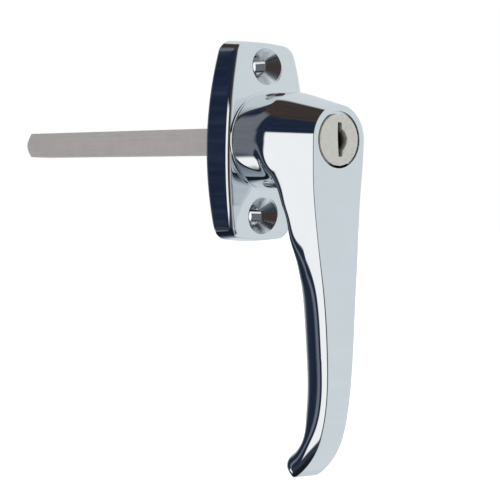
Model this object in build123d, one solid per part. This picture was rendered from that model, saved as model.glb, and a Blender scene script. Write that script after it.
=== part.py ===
from build123d import *
from math import cos, pi, sin, sqrt
import os

# Locking lever handle for a window or cabinet: an oval base plate, a cranked lever on a
# square spindle, and a key plug in the lever's head that drives a spring bolt.
# Millimetres. Origin: spindle axis on the plate's back face. +Y goes into the door along
# the spindle, -Y towards the hand, +Z up. The lever hangs along -Z at rest, unlocked.

# ---- base plate
plate_half_width = 16.0      # at the middle, on the back face
plate_half_length = 30.1
plate_side_radius = 97.5     # bow of the long sides
plate_end_radius = 90.0      # bow of the short ends
plate_corner_radius = 5.0
plate_thick = 9.2            # at the middle
plate_dome_radius = 200.0    # lengthwise crown of the front
plate_draft = 6.0            # degrees, sides lean in towards the front
plate_edge_radius = 2.0
fixing_pitch = 45.0          # hole to hole, along Z
fixing_hole_radius = 2.5
fixing_head_radius = 5.6     # countersink at the plate's front
collar_radius = 14.8         # raised ring that the hub turns on
collar_rise = 0.7
recess_margin = 4.0          # back recess for the washers and the clip, round the journal
recess_depth = 4.0
boss_wall = 2.95             # wall of the forward boss around the journal
boss_front = 17.0            # how far the boss stands in front of the back face

# ---- lever
journal_radius = 8.0
journal_inset = 0.5          # journal end below the plate's back face
hub_radius = 14.4
neck_bend_y = 22.2           # where the hub's cylinder turns into the neck's cone
neck_bend_radius = 12.0
hub_skirt = 17.4             # depth of the hub's hollow
head_front = 40.0            # flat front of the head, from the back face plane
head_radius = 10.0
bore_depth = 20.7            # lock bore
mouth_radius = 8.1           # shallow step at the bore's mouth
mouth_depth = 1.2

# ---- spindle
spindle_side = 8.0
spindle_reach = 113.0        # behind the plate's back face
spindle_nose_length = 3.0    # turned taper at the free end
spindle_nose_depth = 2.0
spindle_seat = 13.0          # how far its front end sits in front of the back face
spindle_pin_radius = 1.25
spindle_pin_y = -7.0

# ---- lock plug, wafers and cam
plug_radius = 7.4
wafer_count = 5
wafer_first_depth = 3.0      # first wafer behind the head's face
wafer_pitch = 2.4
wafer_thick = 1.0
wafer_left = -0.35 * plug_radius     # off the plug's centre, like the keyway
wafer_right = 0.6 * plug_radius
wafer_travel = 0.6
wafer_cuts = (0.5, -0.3, 0.2, 0.6, -0.1)   # height of each wafer's window
wafer_window_height = 6.6
key_window_left = -0.12 * plug_radius
key_window_right = 0.51 * plug_radius
spring_channel_radius = 0.115 * plug_radius
spring_channel_x = -0.58 * plug_radius
spring_channel_top = 0.6 * plug_radius
ear_half_width = 0.08 * plug_radius
ear_top = 1.0
ear_height = 1.4
keyway_depth = 15.0
plug_pin_radius = 1.0
plug_pin_depth = 17.0        # behind the head's face
plug_pin_start = -3.8
plug_pin_end = 11.0
cam_thick = 2.8
cam_low = 2.1                # follower height with the bolt out
bolt_travel = 2.0
tail_side = 2.4              # square tail that carries the cam

# ---- locking bolt
bolt_y = -15.6               # middle of its thickness
bolt_thick = 3.0
bolt_wall = 1.1
bolt_nose_width = 5.0
bolt_nose_tip = 7.5
bolt_pocket_end = -7.0

# ---- washers and clip, stacked in the recess
thrust_thick = 0.8
disc_spring_thick = 0.35
disc_spring_height = 0.75
clip_thick = 1.0
clip_groove_depth = 0.5
clip_band = 1.9              # radial width of the clip's band
clip_mouth = 2.8
clip_lug_x = 3.0
clip_lug_radius = 1.45
clip_lug_hole_radius = 0.7

# ---- coil springs: radius to the wire's middle, radius of the wire
bolt_coil_radius = 1.05
bolt_wire_radius = 0.15
wafer_coil_radius = 0.08 * plug_radius
wafer_wire_radius = 0.1

# ---- fits
run = 0.05                   # radial running clearance
slip = 0.1                   # sliding clearance per side
gap = 0.2                    # free clearance between moving faces

# ---- worked out
recess_radius = journal_radius + recess_margin
wafer_first_y = wafer_first_depth - head_front
plug_pin_y = plug_pin_depth - head_front
boss_radius = journal_radius + run + boss_wall
plug_bore = plug_radius + run
bore_floor = -(head_front - bore_depth)
plug_back = bore_floor - gap
hub_back = -(plate_thick + collar_rise + gap)
lug_track_radius = (boss_radius + gap + hub_radius) / 2
lug_radius = (hub_radius - boss_radius - gap) / 4
lug_reach = 1.6
cam_high = cam_low + bolt_travel
involute = bolt_travel / (pi / 2)          # base circle of the involute flank
cam_reach = sqrt(involute**2 + cam_high**2)
bolt_window_left = -(cam_high + run)
bolt_window_right = cam_low + 2 * gap
bolt_window_bottom = -(cam_reach + gap)
bolt_window_top = cam_low + 2 * gap
bolt_tail = bolt_window_left - bolt_wall
bolt_front = bolt_y - bolt_thick / 2
bolt_back = bolt_y + bolt_thick / 2
cam_back = bolt_y + cam_thick / 2
thrust_y = -recess_depth + run
disc_y = thrust_y + thrust_thick
clip_y = disc_y + disc_spring_height


def rod(radius, y_front, y_back, x=0.0, z=0.0):
    """A cylinder along Y between two places."""
    length = y_back - y_front
    return Pos(x, (y_front + y_back) / 2, z) * Rot(90, 0, 0) * Cylinder(radius, length)


def ring(outer, inner, y_front, y_back):
    return rod(outer, y_front, y_back) - rod(inner, y_front - 1, y_back + 1)


def block(x0, x1, y0, y1, z0, z1):
    size = (x1 - x0, y1 - y0, z1 - z0)
    return Pos((x0 + x1) / 2, (y0 + y1) / 2, (z0 + z1) / 2) * Box(*size)


def turned(*points):
    """A solid of revolution about Y from (radius, y) corners."""
    return revolve(make_face(Polyline(*points, close=True)), Axis.Y)


def coil(radius, wire, length, turns, at, axis):
    """An open compression spring whose ends touch the faces it works between."""
    pitch = (length - 2 * wire) / turns
    path = Helix(pitch, pitch * turns, radius)
    spring = sweep(Plane(path @ 0, z_dir=path % 0) * Circle(wire), path=path)
    return Location(Plane(at, z_dir=axis)) * (Pos(0, 0, wire) * spring)


# ---------------------------------------------------------------- base plate
def plate_outline():
    side = plate_side_radius - plate_half_width
    end = plate_end_radius - plate_half_length
    shape = Pos(side, 0) * Circle(plate_side_radius)
    shape &= Pos(-side, 0) * Circle(plate_side_radius)
    shape &= Pos(0, end) * Circle(plate_end_radius)
    shape &= Pos(0, -end) * Circle(plate_end_radius)
    return fillet(shape.vertices(), plate_corner_radius)


def countersunk_hole(z):
    face = plate_dome_radius - sqrt(plate_dome_radius**2 - z**2) - plate_thick
    throat = face + fixing_head_radius - fixing_hole_radius
    return Pos(0, 0, z) * turned(
        (0, face - 3), (fixing_head_radius, face - 3), (fixing_head_radius, face),
        (fixing_hole_radius, throat), (fixing_hole_radius, 1), (0, 1))


def base_plate():
    blank = extrude(Plane.XZ * plate_outline(), plate_thick + 1, taper=plate_draft)
    crown = Pos(0, plate_dome_radius - plate_thick, 0) * Rot(0, 90, 0) * Cylinder(
        plate_dome_radius, 4 * plate_half_width)
    blank &= crown
    front = blank.faces().sort_by(Axis.Y)[0]
    plate = fillet(front.edges(), plate_edge_radius)
    collar_front = -(plate_thick + collar_rise)
    plate += rod(collar_radius, collar_front, -plate_thick / 2)
    plate += rod(boss_radius, -boss_front, -plate_thick / 2)
    plate -= rod(journal_radius + run, -boss_front - 1, 1)
    plate -= rod(recess_radius, -recess_depth, 1)
    for z in (-fixing_pitch / 2, fixing_pitch / 2):
        plate -= countersunk_hole(z)
    # stop track for the hub's lug: a quarter turn from the top round to -X
    track = CenterArc((0, 0), lug_track_radius, 90, 90)
    groove = Plane.XZ * SlotArc(track, 2 * (lug_radius + slip))
    plate -= Pos(0, collar_front + lug_reach, 0) * extrude(groove, lug_reach + 1)
    # the bolt's two notches in the boss rim, at 0 and at 90 degrees
    half = bolt_nose_width / 2 + slip
    notch = block(0, boss_radius + 1, -boss_front - 1, bolt_back + gap, -half, half)
    plate -= notch
    plate -= Rot(0, -90, 0) * notch
    return plate


# ---------------------------------------------------------------- lever
def neck():
    """Hub and neck, turned: a cylinder that tapers evenly to the head."""
    outline = Polyline((0, hub_back), (hub_radius, hub_back), (hub_radius, -neck_bend_y),
                       (head_radius, -head_front), (0, -head_front), close=True)
    face = make_face(outline)
    bend = face.vertices().sort_by_distance((hub_radius, -neck_bend_y))[0]
    return revolve(fillet(bend, neck_bend_radius), Axis.Y)


def grip_section(z, front, back, half_width, widest, flank):
    """Slice at height z: flat front, flanks that flare to the widest, half-ellipse back."""
    corner = front + flank
    edge = Polyline((widest, corner), (half_width, front), (-half_width, front),
                    (-widest, corner))
    back_curve = EllipticalCenterArc((0, corner), widest, back - corner, 0, arc_size=180)
    return Pos(0, 0, z) * make_face(edge + back_curve)


def grip():
    front = 0.1 - head_front     # the head's own face stands just proud of the loft
    slices = (
        # height, front, back, half width, widest, flank depth
        (0.0, front, -17.0, head_radius - 0.05, 13.3, 14.0),
        (-9.4, front, -22.5, 9.65, 12.2, 11.0),
        (-14.4, front, -25.0, 9.2, 11.6, 10.0),
        (-23.0, front - 0.5, -27.6, 8.5, 10.0, 8.0),
        (-34.3, front - 1.5, -30.1, 7.4, 8.5, 5.0),
        (-45.6, front - 2.5, -31.0, 6.1, 6.9, 3.5),
        (-59.0, front - 3.2, -31.3, 5.15, 5.95, 3.2),
        (-70.0, front - 3.2, -31.5, 4.66, 5.4, 3.0),
        (-80.5, front - 2.0, -30.9, 4.4, 5.1, 3.0),
        (-86.0, front - 0.5, -29.7, 4.39, 5.0, 3.0),
        (-90.8, front + 3.1, -27.6, 4.2, 4.7, 2.6),
        (-94.5, front + 7.5, -25.6, 3.6, 3.9, 2.0),
        (-97.2, front + 9.7, -26.0, 2.2, 2.3, 1.2),
        (-98.2, front + 11.0, -27.6, 0.7, 0.75, 0.4),
    )
    return loft([grip_section(*one) for one in slices])


def lever():
    body = neck() + grip()
    body -= rod(boss_radius + gap, -hub_skirt, 1)
    body += rod(lug_radius, hub_back, hub_back + lug_reach, z=lug_track_radius)
    # lock bore, its mouth step, the wafers' two grooves and the journal's seat
    body -= rod(plug_bore, -head_front - 1, bore_floor)
    body -= rod(mouth_radius, -head_front - 1, -head_front + mouth_depth)
    body -= rod(journal_radius, bore_floor, 0)
    reach = plug_radius + wafer_travel + gap
    last = wafer_first_y + wafer_pitch * (wafer_count - 1)
    groove = block(wafer_left - gap, wafer_right + gap, wafer_first_y - wafer_pitch,
                   last + wafer_pitch / 2, -reach, 0)
    body -= groove
    body -= Rot(0, -90, 0) * groove
    # hole for the pin that keeps the plug in
    body -= cross_pin(plug_pin_start, head_radius + hub_radius)
    return body


def journal():
    """Turned carrier pressed into the lever: socket, cam chamber and bolt slot."""
    body = rod(journal_radius, bore_floor, -journal_inset)
    body -= rod(cam_reach + gap, bore_floor - 1, bolt_back + slip)
    body -= block(bolt_pocket_end, journal_radius + 1, bolt_front - slip, bolt_back + slip,
                  bolt_window_bottom - bolt_wall - slip, bolt_window_top + bolt_wall + slip)
    half = spindle_side / 2 + run
    body -= block(-half, half, -spindle_seat - gap, 1, -half, half)
    body -= Pos(0, spindle_pin_y, 0) * Cylinder(spindle_pin_radius, 2 * journal_radius + 2)
    body -= ring(journal_radius + 1, journal_radius - clip_groove_depth,
                 clip_y - run, clip_y + clip_thick + run)
    return body


def cross_pin(start, end):
    """A pin along X that runs through the plug's retaining groove."""
    middle = (start + end) / 2
    return Pos(middle, plug_pin_y, plug_radius) * Rot(0, 90, 0) * Cylinder(
        plug_pin_radius, end - start)


# ---------------------------------------------------------------- spindle and its pin
def spindle():
    half = spindle_side / 2
    bar = block(-half, half, -spindle_seat, spindle_reach, -half, half)
    corner = half * sqrt(2)
    nose = turned(
        (0, -spindle_seat - 1), (corner + 1, -spindle_seat - 1),
        (corner + 1, spindle_reach - spindle_nose_length),
        (corner, spindle_reach - spindle_nose_length),
        (corner - spindle_nose_depth, spindle_reach), (0, spindle_reach))
    bar &= nose
    return bar - Pos(0, spindle_pin_y, 0) * Cylinder(spindle_pin_radius, spindle_side + 2)


def spindle_pin():
    length = 2 * journal_radius - 3 * gap
    return Pos(0, spindle_pin_y, 0) * Cylinder(spindle_pin_radius, length)


# ---------------------------------------------------------------- recess stack
def thrust_washer():
    return ring(recess_radius - 0.5, journal_radius + slip, thrust_y, thrust_y + thrust_thick)


def disc_spring():
    inner = journal_radius + slip
    outer = recess_radius - 1.0
    rise = disc_spring_height - disc_spring_thick
    return turned((inner, disc_y + rise), (inner, disc_y + disc_spring_height),
                  (outer, disc_y + disc_spring_thick), (outer, disc_y))


def journal_clip():
    clip = ring(journal_radius + clip_band, journal_radius - clip_groove_depth + run,
                clip_y, clip_y + clip_thick)
    half = clip_mouth / 2
    clip -= block(-half, half, clip_y - 1, clip_y + clip_thick + 1, -recess_radius, 0)
    lug_z = slip - journal_radius - clip_lug_radius
    for x in (-clip_lug_x, clip_lug_x):
        lug = rod(clip_lug_radius, clip_y, clip_y + clip_thick, x, lug_z)
        clip += lug - rod(journal_radius + run, clip_y - 1, clip_y + clip_thick + 1)
        clip -= rod(clip_lug_hole_radius, clip_y - 1, clip_y + clip_thick + 1, x, lug_z)
    return clip


# ---------------------------------------------------------------- locking bolt
def locking_bolt():
    bottom, top = bolt_window_bottom - bolt_wall, bolt_window_top + bolt_wall
    shoulder = bolt_window_right + bolt_wall
    half = bolt_nose_width / 2
    frame = block(bolt_tail, shoulder, bolt_front, bolt_back, bottom, top)
    nose = block(shoulder - bolt_wall, bolt_nose_tip, bolt_front, bolt_back, -half, half)
    window = block(bolt_window_left, bolt_window_right, bolt_front - 1, bolt_back + 1,
                   bolt_window_bottom, bolt_window_top)
    return frame + nose - window


def bolt_spring():
    middle = (bolt_window_bottom + bolt_window_top) / 2
    room = bolt_tail - bolt_pocket_end
    return coil(bolt_coil_radius, bolt_wire_radius, room, 3.5,
                (bolt_pocket_end, bolt_y, middle), (1, 0, 0))


# ---------------------------------------------------------------- lock plug and cam
def keyway():
    outline = make_face(Polyline(
        (-0.7, 5.0), (-0.6, 0.6), (0.0, -4.8), (1.4, -4.8), (1.6, -3.0), (2.4, -2.2),
        (3.1, -0.6), (3.2, 0.6), (2.4, 2.2), (1.0, 3.2), (0.9, 5.0), close=True))
    outline = fillet(outline.vertices(), 0.25)
    return Pos(0, -head_front + keyway_depth, 0) * extrude(
        Plane.XZ * outline, keyway_depth + 1)


def wafer_places():
    return [wafer_first_y + wafer_pitch * i for i in range(wafer_count)]


def wafer_blank(y, clear, travel=0.0):
    """A wafer's plate and its spring ear, grown by clear and run down by its travel."""
    half = wafer_thick / 2 + clear
    plate = block(wafer_left - clear, wafer_right + clear, y - half, y + half,
                  -plug_radius - 1, plug_radius + 1)
    ear = block(spring_channel_x - ear_half_width - clear, wafer_left, y - half, y + half,
                ear_top - ear_height - travel - clear, ear_top + clear)
    return plate + ear


def lock_plug():
    plug = rod(plug_radius, -head_front, plug_back)
    half = tail_side / 2
    plug += block(-half, half, plug_back - 1, cam_back, -half, half)
    plug -= keyway()
    channel_low = ear_top - ear_height - wafer_travel - slip
    room = spring_channel_top - channel_low
    for y in wafer_places():
        plug -= wafer_blank(y, slip, wafer_travel)
        plug -= Pos(spring_channel_x, y, channel_low + room / 2) * Cylinder(
            spring_channel_radius, room)
    side = plug_pin_radius + slip
    plug -= ring(plug_radius + 1, plug_radius - side, plug_pin_y - side, plug_pin_y + side)
    return plug


def plug_cam():
    """Plate cam. Its flank is an involute, so the bolt moves evenly with the angle."""
    end = cam_high / involute
    turn = 3 * pi / 2 - end             # the high end meets the bolt on the -X side
    flank = []
    for step in range(9):
        t = end - (pi / 2) * step / 8
        x = involute * (cos(t) + t * sin(t))
        z = involute * (sin(t) - t * cos(t))
        flank.append((x * cos(turn) - z * sin(turn), x * sin(turn) + z * cos(turn)))
    outline = Spline(*flank)
    outline += Line(flank[-1], (0, cam_low))
    outline += ThreePointArc((0, cam_low), (cam_low, 0), (0, -cam_low))
    outline += Line((0, -cam_low), flank[0])
    cam = extrude(Plane.XZ * make_face(outline), cam_thick)
    half = tail_side / 2 + run
    return Pos(0, cam_back, 0) * cam - block(-half, half, bolt_front - 1, 0, -half, half)


def plug_pin():
    return cross_pin(plug_pin_start, plug_pin_end)


# ---------------------------------------------------------------- wafers
def wafer(y, cut):
    shape = wafer_blank(y, 0.0) & rod(plug_radius - run, y - wafer_thick, y + wafer_thick)
    half = wafer_window_height / 2
    return shape - block(key_window_left, key_window_right, y - wafer_thick,
                         y + wafer_thick, cut - half, cut + half)


def wafer_spring(y):
    room = spring_channel_top - ear_top
    return coil(wafer_coil_radius, wafer_wire_radius, room, 6, (spring_channel_x, y, ear_top), (0, 0, 1))


# ---------------------------------------------------------------- every piece
pieces = {
    "base_plate": base_plate(),
    "lever": lever(),
    "journal": journal(),
    "spindle": spindle(),
    "spindle_pin": spindle_pin(),
    "thrust_washer": thrust_washer(),
    "disc_spring": disc_spring(),
    "journal_clip": journal_clip(),
    "locking_bolt": locking_bolt(),
    "bolt_spring": bolt_spring(),
    "lock_plug": lock_plug(),
    "plug_cam": plug_cam(),
    "plug_pin": plug_pin(),
}
for number, place in enumerate(wafer_places(), start=1):
    pieces[f"wafer_{number}"] = wafer(place, wafer_cuts[number - 1])
    pieces[f"wafer_spring_{number}"] = wafer_spring(place)

os.makedirs("parts", exist_ok=True)
for name, piece in pieces.items():
    export_step(piece, f"parts/{name}.step")
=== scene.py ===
from math import atan2, cos, pi, radians, sin, tan
import bmesh
import bpy
import numpy as np
from mathutils import Matrix, Vector


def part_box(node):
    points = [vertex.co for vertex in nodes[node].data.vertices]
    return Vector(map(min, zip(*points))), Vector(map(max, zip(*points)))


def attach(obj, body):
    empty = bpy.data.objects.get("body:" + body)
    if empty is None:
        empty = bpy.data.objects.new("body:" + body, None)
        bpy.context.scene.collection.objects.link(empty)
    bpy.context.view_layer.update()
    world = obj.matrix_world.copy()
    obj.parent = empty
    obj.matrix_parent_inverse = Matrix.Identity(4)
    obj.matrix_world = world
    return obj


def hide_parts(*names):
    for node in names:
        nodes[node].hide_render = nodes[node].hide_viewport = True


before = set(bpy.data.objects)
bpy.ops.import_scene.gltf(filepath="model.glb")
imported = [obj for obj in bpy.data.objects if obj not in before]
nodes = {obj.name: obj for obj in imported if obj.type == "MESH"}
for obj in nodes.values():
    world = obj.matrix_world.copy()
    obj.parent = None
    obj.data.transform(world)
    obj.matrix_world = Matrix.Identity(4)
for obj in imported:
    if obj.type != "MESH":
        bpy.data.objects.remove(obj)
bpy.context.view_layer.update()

# ---------------------------------------------------------------- base plate
# A zinc die casting, polished and chromed: an oval with bowed sides, crowned lengthwise,
# with two countersunk holes and a collar and boss that the lever's hub turns on.
# It is screwed to the window or the door and everything else hangs from it.
MM = 0.001
plate_half_width, _, plate_half_length = np.array(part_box("base_plate")[1]) / MM
plate_thick = 9.2
side_radius, end_radius, corner_radius = 97.5, 90.0, 5.0
crown_radius = 230.0
wall_lean = tan(radians(6.0))
edge_round = 1.5
hole_height, hole_rim, hole_throat, rim_round = 22.5, 5.6, 2.5, 0.35
AROUND = 240                 # points round every turned shape and every loop of the lever


def spline(knots, values):
    """Natural cubic spline through a few knots, returned as a function of arrays."""
    t, v = np.asarray(knots, float), np.asarray(values, float)
    h = np.diff(t)
    count = len(t)
    matrix, right = np.eye(count), np.zeros(count)
    for i in range(1, count - 1):
        matrix[i, i - 1:i + 2] = h[i - 1], 2 * (h[i - 1] + h[i]), h[i]
        right[i] = 6 * ((v[i + 1] - v[i]) / h[i] - (v[i] - v[i - 1]) / h[i - 1])
    bend = np.linalg.solve(matrix, right)

    def value(x):
        x = np.clip(np.asarray(x, float), t[0], t[-1])
        i = np.clip(np.searchsorted(t, x) - 1, 0, count - 2)
        a, b = (t[i + 1] - x) / h[i], (x - t[i]) / h[i]
        return (a * v[i] + b * v[i + 1]
                + ((a**3 - a) * bend[i] + (b**3 - b) * bend[i + 1]) * h[i]**2 / 6)
    return value


def quads(rows, columns, first):
    """Corner numbers of the faces of a grid whose points start at number first."""
    n = first + np.arange(rows * columns).reshape(rows, columns)
    return np.stack([n[:-1, :-1], n[:-1, 1:], n[1:, 1:], n[1:, :-1]], -1).reshape(-1, 4)


def closed_skin(name, grids):
    """One mesh from grids of points in millimetres, welded where their edges meet."""
    points, faces, first = [], [], 0
    for grid in grids:
        rows, columns = grid.shape[:2]
        points.append(grid.reshape(-1, 3))
        faces.append(quads(rows, columns, first))
        first += rows * columns
    mesh = bpy.data.meshes.new(name)
    mesh.from_pydata((np.concatenate(points) * MM).tolist(), [],
                     np.concatenate(faces).tolist())
    work = bmesh.new()
    work.from_mesh(mesh)
    bmesh.ops.remove_doubles(work, verts=work.verts, dist=0.002 * MM)
    bmesh.ops.dissolve_degenerate(work, edges=work.edges, dist=0.0005 * MM)
    bmesh.ops.recalc_face_normals(work, faces=work.faces)
    work.to_mesh(mesh)
    work.free()
    piece = bpy.data.objects.new(name, mesh)
    bpy.context.scene.collection.objects.link(piece)
    return smoothed(piece)


def smoothed(piece):
    """Smooth faces, with sharp edges only where the surface really turns."""
    mesh = piece.data
    mesh.polygons.foreach_set("use_smooth", np.ones(len(mesh.polygons), bool))
    mesh.set_sharp_from_angle(angle=radians(30))
    return piece


def turned_grid(profile, x=0.0, z=0.0):
    """Grid of (radius, y) corners carried round the Y axis, starting at the top."""
    angle = np.linspace(0, 2 * pi, AROUND + 1)
    radius, y = np.array(profile, float).T
    return np.stack([x - radius[:, None] * np.sin(angle),
                     np.repeat(y[:, None], AROUND + 1, 1),
                     z + radius[:, None] * np.cos(angle)], -1)


def block(x0, x1, y0, y1, z0, z1):
    """Cutter with flat sides between two corners."""
    corners = np.array([(x, y, z) for x in (x0, x1) for y in (y0, y1) for z in (z0, z1)])
    mesh = bpy.data.meshes.new("cutter")
    mesh.from_pydata((corners * MM).tolist(), [], [
        (0, 1, 3, 2), (4, 6, 7, 5), (0, 4, 5, 1), (2, 3, 7, 6), (0, 2, 6, 4), (1, 5, 7, 3)])
    piece = bpy.data.objects.new("cutter", mesh)
    bpy.context.scene.collection.objects.link(piece)
    return piece


def combine(piece, tool, operation):
    """Cuts tool from piece or joins it on, and removes the tool."""
    step = piece.modifiers.new(operation.lower(), "BOOLEAN")
    step.object, step.operation, step.solver = tool, operation, "EXACT"
    view = bpy.context.evaluated_depsgraph_get()
    mesh = bpy.data.meshes.new_from_object(piece.evaluated_get(view))
    piece.modifiers.clear()
    piece.data = mesh
    bpy.data.objects.remove(tool)


def plate_outline():
    """Corner-rounded oval: two bowed sides and two bowed ends, each pair joined by an arc.

    In each quarter the arc's centre lies corner_radius inside both big circles."""
    side, end = side_radius - plate_half_width, end_radius - plate_half_length
    small_side, small_end = side_radius - corner_radius, end_radius - corner_radius
    x, z = plate_half_width - corner_radius, plate_half_length - corner_radius
    for _ in range(30):
        x = np.sqrt(small_side**2 - z**2) - side
        z = np.sqrt(small_end**2 - x**2) - end
    side_stop = atan2(z, x + side)
    end_start = atan2(z + end, x)
    side_arc = np.linspace(0, side_stop, 40)
    corner = np.linspace(side_stop, end_start, 26)[1:]
    end_arc = np.linspace(end_start, pi / 2, 18)[1:]
    px = np.concatenate([side_radius * np.cos(side_arc) - side,
                         x + corner_radius * np.cos(corner), end_radius * np.cos(end_arc)])
    pz = np.concatenate([side_radius * np.sin(side_arc),
                         z + corner_radius * np.sin(corner),
                         end_radius * np.sin(end_arc) - end])
    nx = np.cos(np.concatenate([side_arc, corner, end_arc]))
    nz = np.sin(np.concatenate([side_arc, corner, end_arc]))
    quarter = np.stack([px, pz, nx, nz], -1)
    half = np.concatenate([quarter, quarter[-2::-1] * (-1, 1, -1, 1)])
    return np.concatenate([half, half[-2::-1] * (1, -1, 1, -1)])


def crown(z):
    """Depth of the bowed front face at height z, as a Y value."""
    return crown_radius - np.sqrt(crown_radius**2 - z**2) - plate_thick


def plate_rings():
    """Rings from the back's middle, up the leaning wall, over the edge to the crown."""
    line = plate_outline()
    edge, out = line[:, :2], line[:, 2:]

    def ring(inset, y, shrink=1.0):
        flat = (edge - out * np.asarray(inset)[..., None]) * shrink
        y = crown(flat[:, 1]) if y is None else np.broadcast_to(y, len(flat))
        return np.stack([flat[:, 0], y, flat[:, 1]], -1)

    rings = [ring(0.0, 0.0, share) for share in (0, 0.25, 0.5, 0.75, 0.95)]
    rings += [ring(0.25, 0.0), ring(0.07, -0.07), ring(0.025, -0.25)]
    top = np.full(len(edge), plate_thick)
    for _ in range(6):
        top = -crown(edge[:, 1] - out[:, 1] * top * wall_lean)
    start = top - edge_round
    rings += [ring(start * wall_lean * s, -start * s) for s in np.linspace(0.08, 1, 9)[:-1]]
    wall_end = ring(start * wall_lean, -start)
    corner = ring(top * wall_lean, -top)
    face_start = ring(top * wall_lean + edge_round, None)
    rings += [(1 - t)**2 * wall_end + 2 * t * (1 - t) * corner + t**2 * face_start
              for t in np.linspace(0, 1, 13)]
    flat = face_start[:, [0, 2]]
    for share in np.linspace(1, 0, 24)[1:]:
        inner = flat * share
        rings.append(np.stack([inner[:, 0], crown(inner[:, 1]), inner[:, 1]], -1))
    return np.stack(rings)


def countersink(z):
    """Cutter for one screw hole: softened rim, cone, straight throat."""
    face = crown(np.array(z))
    soft = [(hole_rim + rim_round * (1 - sin(a)), face + rim_round * (1 - cos(a)))
            for a in np.linspace(0, pi / 2 - 0.6, 5)]
    cone_end = face + hole_rim - hole_throat + 0.4
    profile = [(0, face - 3), (hole_rim + rim_round, face - 3)] + soft
    profile += [(hole_throat, cone_end), (hole_throat, 2), (0, 2)]
    return closed_skin("cutter", [turned_grid(profile, z=z)])


plate = closed_skin("plate_casting", [plate_rings()])
collar_radius, collar_front = 14.8, -9.9
boss_radius, boss_front, bore_radius = 11.0, -17.0, 8.05
ledge = [(0, -4.6), (collar_radius, -4.6), (collar_radius, collar_front + 0.3),
         (collar_radius - 0.09, collar_front + 0.09), (collar_radius - 0.3, collar_front),
         (boss_radius, collar_front), (boss_radius, boss_front), (0, boss_front)]
combine(plate, closed_skin("boss", [turned_grid(ledge)]), "UNION")
recess = [(0, -18), (bore_radius, -18), (bore_radius, -4), (12, -4), (12, 1), (0, 1)]
combine(plate, closed_skin("recess", [turned_grid(recess)]), "DIFFERENCE")
for height in (-hole_height, hole_height):
    combine(plate, countersink(height), "DIFFERENCE")
# stop track for the hub's lug: a quarter turn from the top round to the left, and half the
# lug more at each end
track_start, track_span = -6.5, 103
track = turned_grid([(11.9, -8.3), (11.9, -11), (13.7, -11), (13.7, -8.3), (11.9, -8.3)])
track = track[:, :AROUND * track_span // 360 + 2]
track[:, [0, -1]] = track[:4, [1, -2]].mean(0)
track_cutter = closed_skin("cutter", [track])
track_cutter.data.transform(Matrix.Rotation(radians(-track_start), 4, "Y"))
combine(plate, track_cutter, "DIFFERENCE")
# notches in the boss's rim for the bolt, at both ends of the lever's turn
for x0, x1, z0, z1 in ((0, 12, -2.6, 2.6), (-2.6, 2.6, 0, 12)):
    combine(plate, block(x0, x1, -18, -13.9, z0, z1), "DIFFERENCE")
smoothed(plate)


class Wire:
    """An output socket in a material. Arithmetic on it adds Math nodes."""

    def __init__(self, finish, socket):
        self.finish, self.socket = finish, socket

    def math(self, operation, *values):
        return self.finish.node("ShaderNodeMath", {"operation": operation}, values)

    def __add__(self, other):
        return self.math("ADD", self, other)

    def __sub__(self, other):
        return self.math("SUBTRACT", self, other)

    def __rsub__(self, other):
        return self.math("SUBTRACT", other, self)

    def __mul__(self, other):
        return self.math("MULTIPLY", self, other)

    __radd__, __rmul__ = __add__, __mul__


class Finish:
    """One material: a Principled shader and the nodes that feed it."""

    def __init__(self, name, **constants):
        self.material = bpy.data.materials.new(name)
        self.material.use_nodes = True
        self.tree = self.material.node_tree
        self.shader = self.tree.nodes["Principled BSDF"]
        for socket, value in constants.items():
            self.shader.inputs[socket.replace("_", " ")].default_value = value
        place = self.tree.nodes.new("ShaderNodeTexCoord")
        self.place = Wire(self, place.outputs["Object"])

    def node(self, kind, settings, values, output=0):
        """Adds a node, sets its settings first, then its values or links by number or name."""
        made = self.tree.nodes.new(kind)
        for name, value in settings.items():
            if name == "stops":
                ramp = made.color_ramp
                for number, (at, colour) in enumerate(value):
                    stop = ramp.elements[number] if number < 2 else ramp.elements.new(at)
                    stop.position, stop.color = at, (*colour, 1.0)
            else:
                setattr(made, name, value)
        pairs = values.items() if isinstance(values, dict) else enumerate(values)
        for key, value in pairs:
            if isinstance(value, Wire):
                self.tree.links.new(value.socket, made.inputs[key])
            else:
                made.inputs[key].default_value = value
        return Wire(self, made.outputs[output])

    def noise(self, scale, detail=2.0, stretch=(1, 1, 1), rough=0.5):
        """Cloudy pattern, about 1 / scale metres across, drawn out by stretch."""
        where = self.node("ShaderNodeMapping", {}, {"Vector": self.place, "Scale": stretch})
        return self.node("ShaderNodeTexNoise", {}, {
            "Vector": where, "Scale": scale, "Detail": detail, "Roughness": rough})

    def blend(self, share, first, second):
        """Mix of two colours, or of two colour wires, by a share."""
        return self.node("ShaderNodeMix", {"data_type": "RGBA"}, {
            "Factor": share, 6: first, 7: second}, output=2)

    def part(self, vector, number):
        """X, Y or Z of a vector wire."""
        return self.node("ShaderNodeSeparateXYZ", {}, {"Vector": vector}, output=number)

    def math(self, operation, *values):
        return self.node("ShaderNodeMath", {"operation": operation}, values)

    def feed(self, **links):
        """Links wires to the shader's sockets, named with underlines for spaces."""
        for socket, wire in links.items():
            self.tree.links.new(wire.socket, self.shader.inputs[socket.replace("_", " ")])

    def bump(self, height, distance, strength=1.0):
        self.feed(Normal=self.node("ShaderNodeBump", {}, {
            "Height": height, "Distance": distance, "Strength": strength}))

    def put_on(self, *pieces):
        for piece in pieces:
            piece.data.materials.clear()
            piece.data.materials.append(self.material)


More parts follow.
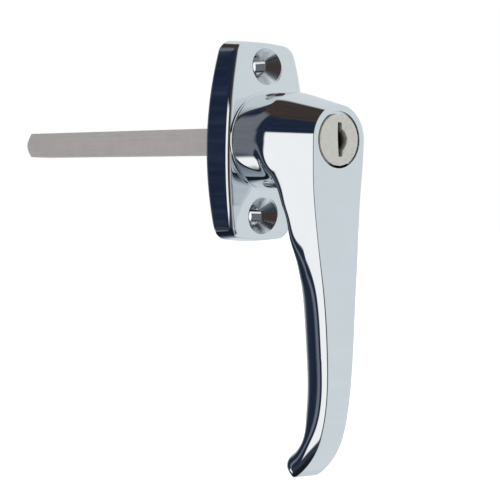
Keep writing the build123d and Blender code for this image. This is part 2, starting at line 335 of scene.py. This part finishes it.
def bright_chrome(name):
    """Polished chrome: cool white metal, a breath of haze and the faintest ripple."""
    chrome = Finish(name, Metallic=1.0)
    haze = chrome.noise(160.0, detail=4.0)
    wipe = chrome.noise(60.0, detail=3.0, stretch=(1, 1, 0.25))
    chrome.feed(Base_Color=chrome.blend(wipe, (0.80, 0.83, 0.85, 1), (0.87, 0.885, 0.895, 1)))
    chrome.haze = 0.018 + haze * 0.03
    chrome.feed(Roughness=chrome.haze)
    chrome.bump(chrome.noise(90.0, detail=1.0), 0.00001, 0.25)
    return chrome


plate_chrome = bright_chrome("plate_chrome")
# the two countersinks are cut after polishing, so faint tool rings show through there
across_x = plate_chrome.part(plate_chrome.place, 0)
along_z = plate_chrome.part(plate_chrome.place, 2)
from_hole = plate_chrome.math("ABSOLUTE", plate_chrome.math("ABSOLUTE", along_z) - 0.0225)
from_axis = plate_chrome.math("SQRT", across_x * across_x + from_hole * from_hole)
in_cone = plate_chrome.math("LESS_THAN", from_axis, 0.0056)
tool_rings = plate_chrome.math("SINE", from_axis * 22000.0)
plate_chrome.feed(Roughness=plate_chrome.haze + in_cone * 0.1)
plate_chrome.bump(in_cone * tool_rings, 0.000012, 0.5)
plate_chrome.put_on(plate)
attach(plate, "base")
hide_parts("base_plate")

# ---------------------------------------------------------------- lever
# One chromed casting: a round hub over the plate's boss, a neck that tapers to the head,
# and a grip that hangs from it, flat in front and round behind, curling back at its tip.
# The lock bore runs in from the head and meets the journal's seat behind it.
head_y, head_radius = -40.0, 10.0
hub_radius, hub_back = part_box("lever")[1][2] / MM, -10.1
neck_bend, neck_soft = 22.2, 1.5    # where the neck goes parallel, and how softly
crease = 0.3                 # small round along the edge of the flat front
low = 62.0                   # below this the sections start to lean with the curl
tip_end = 106.2              # measured like front_q below
tip_round = 5.0              # length over which the sections shrink to the end

# along the front's middle line, counted down from the spindle axis
front_q = (0, 8, 15, 27, 42, 60, 75, 86.3, 93.8, 99.0, 102.0, 106.2)
front_y = spline(front_q, (-40, -40, -40.0, -40.75, -42.1, -43.1, -42.7, -40.3, -36.8,
                           -33.1, -30.6, -26.9))
front_z = spline(front_q, (0, -8, -15, -27, -42, -60, -75, -86.1, -92.0,
                           -95.6, -97.3, -99.4))
half_width = spline((0, 8, 20, 32, 46, 60, 75, 86, 96),
                    (10, 9.75, 8.8, 7.65, 6.05, 5.1, 4.46, 4.38, 4.38))
flare = spline((0, 20, 30, 37, 44, 60, 82, 90, 98),
               (0.2472, 0.22, 0.27, 0.39, 0.48, 0.53, 0.56, 0.7, 0.7))
belly = spline((0, 20, 30, 37, 44, 60, 90), (0.0, 0.002, 0.012, 0.06, 0.13, 0.18, 0.2))
depth = spline((0, 9.4, 14.7, 19, 22, 25.5, 30, 40, 60),
               (23, 16.6, 13.5, 12.1, 11.1, 10.8, 11.0, 11.3, 11.6))
egg_depth = spline((24, 44, 60, 75, 82, 90, 100), (13.2, 13.2, 12.6, 11.5, 10.6, 8.4, 7.6))
back_round = spline((0, 12, 22, 28, 38, 60), (2.4, 1.9, 1.4, 2.2, 4.0, 4.0))


def soft_step(x, start, stop):
    """From 0 at start to 1 at stop, level at both ends."""
    t = np.clip((x - start) / (stop - start), 0, 1)
    return t * t * (3 - 2 * t)


def flank(q, d):
    """Half the lever's width at d behind the flat front: flares, and bellies out low down."""
    straight = d - neck_soft * np.logaddexp(0, (d + head_y + neck_bend) / neck_soft)
    curved = np.minimum(d, flare(q) / np.maximum(belly(q), 0.001))
    return half_width(q) + flare(q) * np.minimum(straight, curved) - belly(q) * curved**2 / 2


def round_and(a, b, r):
    """Where both a and b are inside. The corner eases in, about as large as radius r."""
    ease = 1.75 * r
    return np.maximum(a, b) + np.maximum(ease - np.abs(a - b), 0)**3 / (6 * ease**2)


def round_or(a, b, r):
    """Where either is inside, with an easing fillet of about radius r between them."""
    return -round_and(-a, -b, r)


def egg(x, d, q):
    """Low down the back is half an ellipse, from the widest place to egg_depth."""
    widest = np.minimum(flare(q) / np.maximum(belly(q), 0.001), 5)
    half = flank(q, widest)
    behind = np.maximum(d - widest, 0) / (egg_depth(q) - widest)
    return np.where(d < widest, np.abs(x) - flank(q, d), half * (np.hypot(x / half, behind) - 1))


def section(x, d, q):
    """Signed height over one section of the grip: boxy near the neck, an egg low down."""
    box = round_and(np.abs(x) - flank(q, d), d - depth(q), back_round(q))
    low_down = soft_step(q, 27, 47)
    return box * (1 - low_down) + egg(x, d, q) * low_down


def casting(x, y, z):
    """Signed height over the hub, neck and upper grip; zero on the surface.

    A turned hub and neck, joined by a fillet behind to a slab that hangs from them."""
    q = np.maximum(-z, 0)
    neck = np.hypot(x, z) - flank(0, y - head_y)
    slab = section(np.hypot(x, np.maximum(z, 0)), y - front_y(q), q)
    fillet = 4.0 * soft_step(-z, 0, 12) * soft_step(y, -31, -21) + 0.001
    return round_or(neck, slab, fillet)


def solve(surface, reach):
    """Distance along each ray at which the surface turns from inside to outside."""
    near, far = np.zeros_like(reach), reach.copy()
    for _ in range(44):
        middle = (near + far) / 2
        inside = surface(middle) < 0
        near, far = np.where(inside, middle, near), np.where(inside, far, middle)
    return (near + far) / 2


QUARTER = AROUND // 4 + 1                # loops over a quarter of the head's circle
FACE_LOOPS = AROUND * 5 // 12 + 1        # loops beside the lock
HUB_LOOPS, FAN_LOOPS = 14, 44            # loops along the hub, and round behind the head
FIRST_EDGE = HUB_LOOPS + FAN_LOOPS       # loops behind the flat front
SIDE_LOOPS, TIP_LOOPS = 95, 45           # loops down to the place called low, and below it
pivot = np.array((-18.0, -25.0))         # (y, z) that the loops round the head fan out from


def fan(turn):
    """Middle and direction in the side view of the loop that leans forwards by turn."""
    out = np.array((-sin(turn), cos(turn)))
    return pivot + out * (25.0 - 12.5 * turn / (pi / 2)), out


def edge_rows():
    """Where the loops meet the flat front's edge: round the head, then down to low."""
    rim = float(flank(0, crease))
    rows = []
    for angle in np.arange(FACE_LOOPS) * 2 * pi / AROUND:
        if angle <= pi / 2:
            rows.append((rim * sin(angle), head_y + crease, rim * cos(angle)))
        else:
            q = head_radius * tan(angle - pi / 2)
            for _ in range(30):
                q = float(flank(q, crease)) * tan(angle - pi / 2)
            rows.append((float(flank(q, crease)), float(front_y(q)) + crease, -q))
    for q in np.linspace(-rows[-1][2], low, SIDE_LOOPS + 1)[1:]:
        rows.append((float(flank(q, crease)), float(front_y(q)) + crease, -q))
    return rows


def loop_planes():
    """Middle, direction and front opening of each loop, from the hub down to low."""
    planes = [((y, 0), (0, 1), 0.0) for y in np.linspace(hub_back - 0.3, pivot[0], HUB_LOOPS)]
    rows = edge_rows()
    top_turn = atan2(pivot[0] - rows[0][1], rows[0][2] - pivot[1])
    planes += [(*fan(turn), 0.0) for turn in np.linspace(0, top_turn, FAN_LOOPS + 2)[1:-1]]
    for x, y, z in rows:
        if z > pivot[1]:
            middle, out = fan(atan2(pivot[0] - y, z - pivot[1]))
        else:
            middle = (y + 9.8 - 4.3 * float(soft_step(-z, 25, 45)), z)
            out = (-1, 0)
        planes.append((middle, out, atan2(x, np.hypot(y - middle[0], z - middle[1]))))
    return [np.array(column, float) for column in zip(*planes)]


def ray_turns(opening):
    """Angles of each loop's rays, which leave out the flat front."""
    turn = np.linspace(0, 2 * pi, AROUND + 1)
    return np.clip(turn, opening[:, None], 2 * pi - opening[:, None])


def upper_loops():
    """Loops from the hub down to low.

    A loop is cut in the plane that holds the X direction and one direction in the side view.
    Rays leave a middle point in that plane, and each ends where the surface is."""
    middles, outwards, opening = loop_planes()
    beta = ray_turns(opening)
    ray = np.stack([-np.sin(beta), np.cos(beta) * outwards[:, :1],
                    np.cos(beta) * outwards[:, 1:]], -1)
    base = np.stack([np.zeros(len(middles)), middles[:, 0], middles[:, 1]], -1)[:, None]

    def surface(distance):
        p = base + ray * distance[..., None]
        return casting(p[..., 0], p[..., 1], p[..., 2])

    return base + ray * solve(surface, np.full(beta.shape, 24.0))[..., None]


# below low each loop lies in a section that leans with the curl, and the last ones shrink
# like a quarter circle towards the middle of the grip's depth, which makes a round end
tip_q = low + (tip_end - low) * np.sin(np.linspace(0, pi / 2, TIP_LOOPS + 1))[1:]
shrink = np.clip((tip_q - tip_end + tip_round) / tip_round, 0, 1)
tip_scale = np.maximum(np.sqrt(1 - shrink**2), 1e-4)
tip_middle = 5.5 - 1.7 * soft_step(tip_q, low, 100)
lean = np.arctan2(front_y(tip_q + 0.05) - front_y(tip_q - 0.05),
                  front_z(tip_q - 0.05) - front_z(tip_q + 0.05)) * soft_step(tip_q, low, 84)
tip_inward = np.stack([np.cos(lean), np.sin(lean)], -1)
tip_front = (np.stack([front_y(tip_q), front_z(tip_q)], -1)
             + tip_inward * (tip_middle * (1 - tip_scale))[:, None])


def tip_loops():
    """Loops below low, on rays that leave the middle of each leaning section."""
    size = tip_scale[:, None]
    middle = tip_middle[:, None] * size
    beta = ray_turns(np.arctan2(flank(tip_q, crease), tip_middle - crease))

    def surface(distance):
        x, d = -np.sin(beta) * distance, middle - np.cos(beta) * distance
        return section(x / size, d / size, tip_q[:, None])

    far = solve(surface, np.full(beta.shape, 14.0))
    d = middle - np.cos(beta) * far
    return np.stack([-np.sin(beta) * far, tip_front[:, :1] + tip_inward[:, :1] * d,
                     tip_front[:, 1:] + tip_inward[:, 1:] * d], -1)


upper, lower = upper_loops(), tip_loops()


def edge_points(inset, back):
    """Points along the flat front's edge, on the left, moved inwards or backwards."""
    turn = np.arange(QUARTER) * 2 * pi / AROUND
    arc = np.stack([-(head_radius - inset) * np.sin(turn), np.full(QUARTER, head_y + back),
                    (head_radius - inset) * np.cos(turn)], -1)
    q = -upper[FIRST_EDGE + QUARTER:, 0, 2]
    side = np.stack([-(half_width(q) - inset), front_y(q) + back, -q], -1)
    tip = np.stack([-(half_width(tip_q) - inset) * tip_scale,
                    tip_front[:, 0] + tip_inward[:, 0] * back,
                    tip_front[:, 1] + tip_inward[:, 1] * back], -1)
    return np.concatenate([arc, side, tip])


behind = np.concatenate([upper[FIRST_EDGE:, 0], lower[:, 0]])
corner = edge_points(0.0, 0.0)
inner = edge_points(crease, 0.0)
edge_round_rows = np.stack([(1 - t)**2 * behind + 2 * t * (1 - t) * corner + t**2 * inner
                            for t in np.linspace(0, 1, 9)])
mirror = np.array((-1, 1, 1))

# front beside the lock: lines from the bore's rim out to the edge
along_bottom = AROUND + 3 - 2 * FACE_LOOPS
spread = radians(60)
across = np.tan(np.linspace(-1, 1, along_bottom) * spread) / tan(spread)
bottom_row = inner[FACE_LOOPS - 1]
bottom = np.stack([-bottom_row[0] * across, np.full(along_bottom, bottom_row[1]),
                   np.full(along_bottom, bottom_row[2])], -1)
left = inner[:FACE_LOOPS]
outline = np.concatenate([left, bottom[1:-1], (left * mirror)[::-1]])
rim_radius = 8.25
rim = turned_grid([(rim_radius, head_y)])[0]
shares = np.array((0.0, 0.08, 0.3, 0.6, 0.9, 1.0))[:, None, None]
lock_face = rim + (outline - rim) * shares

# front below the lock, down to the tip
below = inner[FACE_LOOPS - 1:]
front_strip = np.repeat(below[:, None], along_bottom, 1)
front_strip[..., 0] *= -across

inside = [(hub_radius, hub_back - 0.3), (hub_radius - 0.09, hub_back - 0.09),
          (hub_radius - 0.3, hub_back), (11.2, hub_back), (11.2, -17.4), (8.0, -17.4),
          (8.0, -19.3), (7.45, -19.3), (7.45, -38.8), (8.1, -38.8), (8.1, -39.85),
          (8.15, -39.95), (rim_radius, head_y)]

lever = closed_skin("lever_casting", [
    upper, np.concatenate([upper[-1:], lower]), edge_round_rows, edge_round_rows * mirror,
    lock_face, front_strip, turned_grid(inside)])
# grooves for the wafers with no key in, at both ends of the plug's turn; the plug's pin
# hole; the lug on the hub's back that runs in the plate's stop track
combine(lever, block(-2.79, 4.64, -38.9, -26.2, -8.2, 0), "DIFFERENCE")
combine(lever, block(0, 8.2, -38.9, -26.2, -2.79, 4.64), "DIFFERENCE")
pin_hole = closed_skin("cutter", [turned_grid([(0, -3.8), (1.0, -3.8), (1.0, 16), (0, 16)])])
pin_hole.data.transform(Matrix(((0, 1, 0, 0), (-1, 0, 0, -0.023), (0, 0, 1, 0.0074),
                                (0, 0, 0, 1))))
combine(lever, pin_hole, "DIFFERENCE")
lug = [(0, -10.8), (0.8, -10.8), (0.8, -8.6), (0.7, -8.5), (0, -8.5)]
combine(lever, closed_skin("lug", [turned_grid(lug, z=12.8)]), "UNION")
smoothed(lever)
bright_chrome("lever_chrome").put_on(lever)
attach(lever, "lever")
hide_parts("lever")

# ---------------------------------------------------------------- journal
# Free-cutting steel, turned to size and pressed into the lever from behind. It runs in the
# plate's boss, takes the square bar in its socket and guides the bolt in a cross slot.


def turned_steel(name, light, dark, rough):
    """Bare turned steel: fine rings round the axis, and a film of oil in patches."""
    steel = Finish(name, Metallic=1.0)
    rings = steel.noise(5200.0, detail=3.0, stretch=(0.04, 1, 0.04))
    film = steel.noise(420.0, detail=4.0)
    steel.feed(Base_Color=steel.blend(film, (*light, 1), (*dark, 1)))
    steel.feed(Roughness=rough + rings * 0.16 + film * 0.06)
    steel.bump(rings, 0.00002, 0.35)
    return steel


turned_steel("journal_turned_steel", (0.56, 0.55, 0.53), (0.40, 0.39, 0.37), 0.2).put_on(
    nodes["journal"])

# ---------------------------------------------------------------- spindle and its pin
# A cold-drawn 8 mm square bar, cropped, its end turned to a lead, then dull zinc plated.
# The draw marks run lengthwise under the plating. A hardened pin holds it in the journal.
bar = Finish("dull_zinc_bar", Metallic=0.35)
draw = bar.noise(2600.0, detail=3.0, stretch=(1, 0.02, 1))
bloom = bar.noise(210.0, detail=5.0, rough=0.62)
speck = bar.noise(2400.0, detail=2.0)
zinc = bar.blend(bloom, (0.36, 0.333, 0.32, 1), (0.28, 0.262, 0.253, 1))
bar.feed(Base_Color=bar.blend(draw * 0.45, zinc, (0.46, 0.43, 0.415, 1)))
bar.feed(Roughness=0.34 + bloom * 0.12 + speck * 0.08)
bar.bump(draw + speck * 0.4, 0.00004, 0.45)
bar.put_on(nodes["spindle"])

pin = Finish("ground_pin_steel", Metallic=1.0)
grind = pin.noise(6000.0, detail=2.0, stretch=(0.5, 1, 0.1))
pin.feed(Base_Color=pin.blend(grind, (0.60, 0.60, 0.61, 1), (0.47, 0.47, 0.48, 1)))
pin.feed(Roughness=0.16 + grind * 0.14)
pin.bump(grind, 0.00001, 0.4)
pin.put_on(nodes["spindle_pin"], nodes["plug_pin"])

# ---------------------------------------------------------------- washers and clip
# Stamped parts in the plate's back recess: a steel thrust washer, a disc spring that keeps
# the lever from rattling, and a phosphated clip that snaps into the journal's groove.
washer = Finish("zinc_washer", Metallic=1.0)
spangle = washer.node("ShaderNodeTexVoronoi", {}, {"Vector": washer.place, "Scale": 900.0})
smear = washer.noise(700.0, detail=3.0)
washer.feed(Base_Color=washer.blend(spangle, (0.57, 0.57, 0.56, 1), (0.44, 0.445, 0.45, 1)))
washer.feed(Roughness=0.27 + smear * 0.16)
washer.bump(smear, 0.00002, 0.3)
washer.put_on(nodes["thrust_washer"])

spring_steel = Finish("blued_spring_steel", Metallic=1.0)
heat = spring_steel.noise(380.0, detail=3.0)
spring_steel.feed(Base_Color=spring_steel.blend(heat, (0.21, 0.20, 0.21, 1),
                                                (0.33, 0.27, 0.20, 1)))
spring_steel.feed(Roughness=0.24 + heat * 0.16)
spring_steel.bump(heat, 0.00001, 0.3)
spring_steel.put_on(nodes["disc_spring"])

phosphate = Finish("phosphated_clip", Metallic=0.6)
grain = phosphate.noise(3800.0, detail=3.0)
wear = phosphate.noise(520.0, detail=4.0)
phosphate.feed(Base_Color=phosphate.blend(wear, (0.035, 0.034, 0.033, 1),
                                          (0.085, 0.08, 0.075, 1)))
phosphate.feed(Roughness=0.48 + grain * 0.2)
phosphate.bump(grain, 0.00003, 0.4)
phosphate.put_on(nodes["journal_clip"])

# ---------------------------------------------------------------- locking bolt
# Pressed and sintered steel: a frame round the cam with a square nose that shoots into the
# boss. A small spring behind it pushes it out.
sinter = Finish("sintered_bolt_steel", Metallic=0.9)
pores = sinter.noise(4200.0, detail=2.0)
oil = sinter.noise(600.0, detail=3.0)
sinter.feed(Base_Color=sinter.blend(oil, (0.27, 0.265, 0.26, 1), (0.17, 0.165, 0.16, 1)))
sinter.feed(Roughness=0.34 + pores * 0.2)
sinter.bump(pores, 0.00003, 0.5)
sinter.put_on(nodes["locking_bolt"])

wire = Finish("drawn_spring_wire", Metallic=1.0)
length = wire.noise(5000.0, detail=2.0, stretch=(1, 1, 0.4))
wire.feed(Base_Color=wire.blend(length, (0.55, 0.54, 0.52, 1), (0.41, 0.40, 0.385, 1)))
wire.feed(Roughness=0.2 + length * 0.14)
wire.put_on(nodes["bolt_spring"], *(nodes[f"wafer_spring_{n}"] for n in range(1, 6)))

# ---------------------------------------------------------------- lock plug and cam
# The plug is a nickelled zinc casting with a broached keyway; its face is satin and a
# little mottled, and its colour darkens from the face inwards as painted shade in the keyway. The
# cam on its tail is steel.
nickel = Finish("satin_nickel_plug", Metallic=0.6)
mottle = nickel.noise(650.0, detail=5.0, rough=0.65)
pits = nickel.noise(5200.0, detail=2.0)
# painted shade: the plug's colour runs from the face colour to near black deeper into the lever,
# standing in for the shade inside the keyway
painted_keyway_shade = nickel.node("ShaderNodeMapRange", {}, {
    "Value": nickel.part(nickel.place, 1), "From Min": -0.0399, "From Max": -0.0372})
face = nickel.blend(mottle, (0.70, 0.67, 0.62, 1), (0.50, 0.475, 0.43, 1))
nickel.feed(Base_Color=nickel.blend(painted_keyway_shade, face, (0.075, 0.055, 0.04, 1)))
nickel.feed(Roughness=0.33 + mottle * 0.2 + painted_keyway_shade * 0.2)
nickel.bump(pits + mottle * 0.6, 0.00003, 0.4)
nickel.put_on(nodes["lock_plug"])

turned_steel("cam_steel", (0.50, 0.50, 0.51), (0.37, 0.37, 0.38), 0.24).put_on(
    nodes["plug_cam"])

# ---------------------------------------------------------------- wafers
# Five stamped brass wafers, each on its own little spring in the plug; the rolled faces
# are tarnished in patches.
brass = Finish("stamped_brass", Metallic=1.0)
rolled = brass.noise(3600.0, detail=2.0, stretch=(0.1, 1, 1))
tarnish = brass.noise(500.0, detail=4.0)
brass.feed(Base_Color=brass.blend(tarnish, (0.68, 0.49, 0.20, 1), (0.45, 0.31, 0.13, 1)))
brass.feed(Roughness=0.26 + rolled * 0.16 + tarnish * 0.08)
brass.bump(rolled, 0.00002, 0.3)
brass.put_on(*(nodes[f"wafer_{n}"] for n in range(1, 6)))

# ---------------------------------------------------------------- floor
# A plain pale floor well below the grip's tip. It lights the piece from beneath.
reach, floor_z = 30.0, -0.25
floor_mesh = bpy.data.meshes.new("floor")
floor_mesh.from_pydata([(-reach, -reach, floor_z), (reach, -reach, floor_z),
                        (reach, reach, floor_z), (-reach, reach, floor_z)],
                       [], [(0, 1, 2, 3)])
floor = bpy.data.objects.new("floor", floor_mesh)
bpy.context.scene.collection.objects.link(floor)
paper = Finish("pale_floor", Roughness=0.9)
cloud = paper.noise(0.7, detail=2.0)
paper.feed(Base_Color=paper.blend(cloud, (0.93, 0.93, 0.93, 1), (0.95, 0.95, 0.95, 1)))
paper.put_on(floor)
floor.visible_glossy = False

# ---------------------------------------------------------------- studio light
# White surroundings for the view. Polished metal sees a studio instead: a tall soft box
# on the left, dark walls beside it, and a broad pale panel in front on the right.
world = bpy.data.worlds.new("studio")
bpy.context.scene.world = world
world.use_nodes = True
air = world.node_tree
air.nodes.clear()


def air_node(kind, settings, values, output=0):
    """Adds a node to the world, with its settings and the values or links of its sockets."""
    made = air.nodes.new(kind)
    for name, value in settings.items():
        setattr(made, name, value)
    for key, value in values.items():
        if isinstance(value, bpy.types.NodeSocket):
            air.links.new(value, made.inputs[key])
        else:
            made.inputs[key].default_value = value
    return made.outputs[output]


def studio_ramp(position, stops):
    """Colours at places from 0 to 1, read at a wire's value."""
    made = air.nodes.new("ShaderNodeValToRGB")
    ramp = made.color_ramp
    for number, (at, colour) in enumerate(stops):
        stop = ramp.elements[number] if number < 2 else ramp.elements.new(at)
        stop.position, stop.color = at, (*colour, 1.0)
    air.links.new(position, made.inputs[0])
    return made.outputs[0]


direction = air_node("ShaderNodeTexCoord", {}, {}, output="Generated")
split = air.nodes.new("ShaderNodeSeparateXYZ")
air.links.new(direction, split.inputs[0])
backwards = air_node("ShaderNodeMath", {"operation": "MULTIPLY"}, {0: split.outputs[0], 1: -1.0})
bearing = air_node("ShaderNodeMath", {"operation": "ARCTAN2"}, {0: backwards, 1: split.outputs[1]})
turn_share = air_node("ShaderNodeMath", {"operation": "MULTIPLY"}, {0: bearing, 1: 0.5 / pi})
turn_share = air_node("ShaderNodeMath", {"operation": "FRACT"}, {0: turn_share})
height = air_node("ShaderNodeMath", {"operation": "ARCSINE"}, {0: split.outputs[2]})
height_share = air_node("ShaderNodeMath", {"operation": "MULTIPLY_ADD"},
                        {0: height, 1: 1 / pi, 2: 0.5})


def bearings(stops):
    """Colours by bearing in degrees, from straight behind the plate round by the left."""
    return studio_ramp(turn_share, [(degree / 360, colour) for degree, colour in stops])


def heights(stops):
    """Colours by height in degrees, from straight down to straight up."""
    return studio_ramp(height_share, [(degree / 180 + 0.5, colour) for degree, colour in stops])


navy, brown, black = (0.010, 0.016, 0.036), (0.045, 0.03, 0.022), (0.004, 0.005, 0.008)
grey, white, pale = (0.15, 0.16, 0.18), (1.0, 1.0, 1.0), (0.68, 0.73, 0.755)
dim, mist = (0.03, 0.036, 0.05), (0.30, 0.35, 0.41)
# each band starts at a height in degrees, with its colours by bearing
bands = (
    (-90, 0, ((0, black), (130, black), (180, mist), (215, pale), (290, pale), (325, mist),
              (345, dim), (360, black))),
    (-38, 3, ((0, black), (12, black), (16, white), (34, white), (38, dim), (140, dim),
              (180, pale), (300, pale), (330, mist), (350, black), (360, black))),
    (-25, 2, ((0, dim), (12, navy), (33, navy), (38, grey), (44, grey), (48, navy),
              (60, navy), (62, white), (100, white), (103, brown), (140, brown),
              (165, (0.3, 0.31, 0.32)), (185, pale), (330, pale), (360, dim))),
    (14, 1.5, ((0, mist), (6, navy), (22, navy), (28, grey), (42, grey), (46, navy),
               (100, navy), (106, brown), (140, brown), (175, pale), (350, pale),
               (360, mist))),
    (44, 3, ((0, brown), (55, brown), (75, dim), (140, dim), (180, pale), (342, pale),
             (350, brown), (360, brown))),
)
MIX = {"data_type": "RGBA"}
room = bearings(bands[0][2])
for start, soft, stops in bands[1:]:
    above = heights([(start - soft, (0, 0, 0)), (start + soft, (1, 1, 1))])
    room = air_node("ShaderNodeMix", MIX, {0: above, 6: room, 7: bearings(stops)}, output=2)
mottle = air_node("ShaderNodeTexNoise", {}, {"Vector": direction, "Scale": 22.0, "Detail": 6.0,
                                             "Roughness": 0.7})
mottle = air_node("ShaderNodeMath", {"operation": "POWER"}, {0: mottle, 1: 4.0})
room = air_node("ShaderNodeMix", {"data_type": "RGBA", "blend_type": "ADD"}, {
    0: mottle, 6: room, 7: (0.10, 0.13, 0.2, 1)}, output=2)
seen = air_node("ShaderNodeLightPath", {}, {}, output="Is Camera Ray")
colour = air_node("ShaderNodeMix", MIX, {0: seen, 6: room, 7: (1.0, 1.0, 1.0, 1)}, output=2)
glow = air_node("ShaderNodeBackground", {}, {"Color": colour, "Strength": 1.0})
air_end = air.nodes.new("ShaderNodeOutputWorld")
air.links.new(glow, air_end.inputs[0])


def soft_light(name, spot, target, size, power):
    """Square area light that dull surfaces see and mirrors don't."""
    lamp = bpy.data.lights.new(name, "AREA")
    lamp.size, lamp.energy = size, power
    holder = bpy.data.objects.new(name, lamp)
    holder.location = spot
    aim = Vector(target) - Vector(spot)
    holder.rotation_euler = aim.to_track_quat("-Z", "Y").to_euler()
    holder.visible_glossy = False
    bpy.context.scene.collection.objects.link(holder)


soft_light("left", (-1.2, -0.3, 0.3), (0, 0.03, -0.03), 0.9, 12.0)
wash = bpy.data.lights.new("floor_wash", "SUN")
wash.energy, wash.angle = 3.3, radians(60)
wash_holder = bpy.data.objects.new("floor_wash", wash)
wash_holder.visible_glossy = False
bpy.context.scene.collection.objects.link(wash_holder)

# ---------------------------------------------------------------- camera
# A long lens a little above the handle's middle, forward and to the left of it.
eye = Vector((-0.3503, -0.4055, -0.0223))
ahead = Vector((0.6560, 0.7545, -0.0194)).normalized()
to_right = Vector((0.7548, -0.6555, 0.0275))
to_right = (to_right - ahead * to_right.dot(ahead)).normalized()
to_up = to_right.cross(ahead)
lens = bpy.data.cameras.new("camera")
lens.lens, lens.sensor_width = 127.6, 36.0
lens.clip_start, lens.clip_end = 0.01, 100.0
camera = bpy.data.objects.new("camera", lens)
camera.matrix_world = Matrix((
    (to_right.x, to_up.x, -ahead.x, eye.x), (to_right.y, to_up.y, -ahead.y, eye.y),
    (to_right.z, to_up.z, -ahead.z, eye.z), (0, 0, 0, 1)))
bpy.context.scene.collection.objects.link(camera)
bpy.context.scene.camera = camera
bpy.context.scene.view_settings.view_transform = "Standard"
